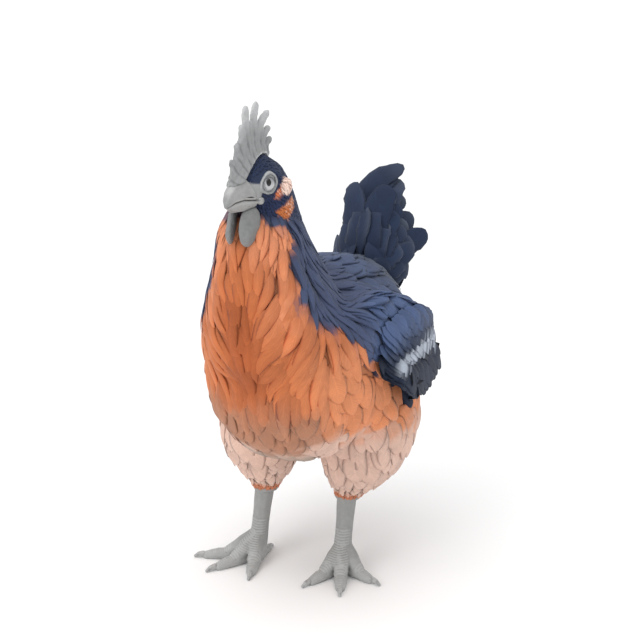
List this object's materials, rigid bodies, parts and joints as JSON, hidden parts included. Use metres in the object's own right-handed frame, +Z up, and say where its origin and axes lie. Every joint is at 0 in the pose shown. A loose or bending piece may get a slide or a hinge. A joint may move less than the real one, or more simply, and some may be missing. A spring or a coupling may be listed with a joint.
{
  "type": "life-size still chicken model",
  "caption": "Life-size still model of a standing hen with folded wings, upright tail, serrated comb, hanging wattles, slate-blue and orange plumage and bare grey legs.",
  "frame": {"origin": "on the floor under the middle of the bird's footprint box", "axes": "+Z up; the bird faces -Y, and its left side is +X"},
  "size_m": [0.2132, 0.3298, 0.4652],
  "materials": {
    "plumage_orange": "matte feathers, warm orange",
    "plumage_navy": "matte feathers, slate blue",
    "plumage_slate": "matte feathers, dark slate",
    "plumage_cream": "matte down feathers, cream",
    "bare_skin": "grey bare skin and leg scales, satin",
    "horn": "grey horn, satin",
    "claw_horn": "grey claw horn, satin",
    "eye": "moist eye, clear and glossy"
  },
  "bodies": {
    "root": {"trunk": "plumage_orange", "neck": "plumage_navy", "head": "plumage_navy", "tail": "plumage_slate", "thigh_left": "plumage_cream", "thigh_right": "plumage_cream", "beak_upper": "horn", "beak_lower": "horn", "comb": "bare_skin", "wing_left": "plumage_navy", "eye_left": "eye", "ear_left": "plumage_cream", "wattle_left": "bare_skin", "shank_left": "bare_skin", "foot_left": "bare_skin", "toe_left_inner": "bare_skin", "claw_left_inner": "claw_horn", "toe_left_middle": "bare_skin", "claw_left_middle": "claw_horn", "toe_left_outer": "bare_skin", "claw_left_outer": "claw_horn", "toe_left_hind": "bare_skin", "claw_left_hind": "claw_horn", "wing_right": "plumage_navy", "eye_right": "eye", "ear_right": "plumage_cream", "wattle_right": "bare_skin", "shank_right": "bare_skin", "foot_right": "bare_skin", "toe_right_inner": "bare_skin", "claw_right_inner": "claw_horn", "toe_right_middle": "bare_skin", "claw_right_middle": "claw_horn", "toe_right_outer": "bare_skin", "claw_right_outer": "claw_horn", "toe_right_hind": "bare_skin", "claw_right_hind": "claw_horn"}
  },
  "joints": []
}
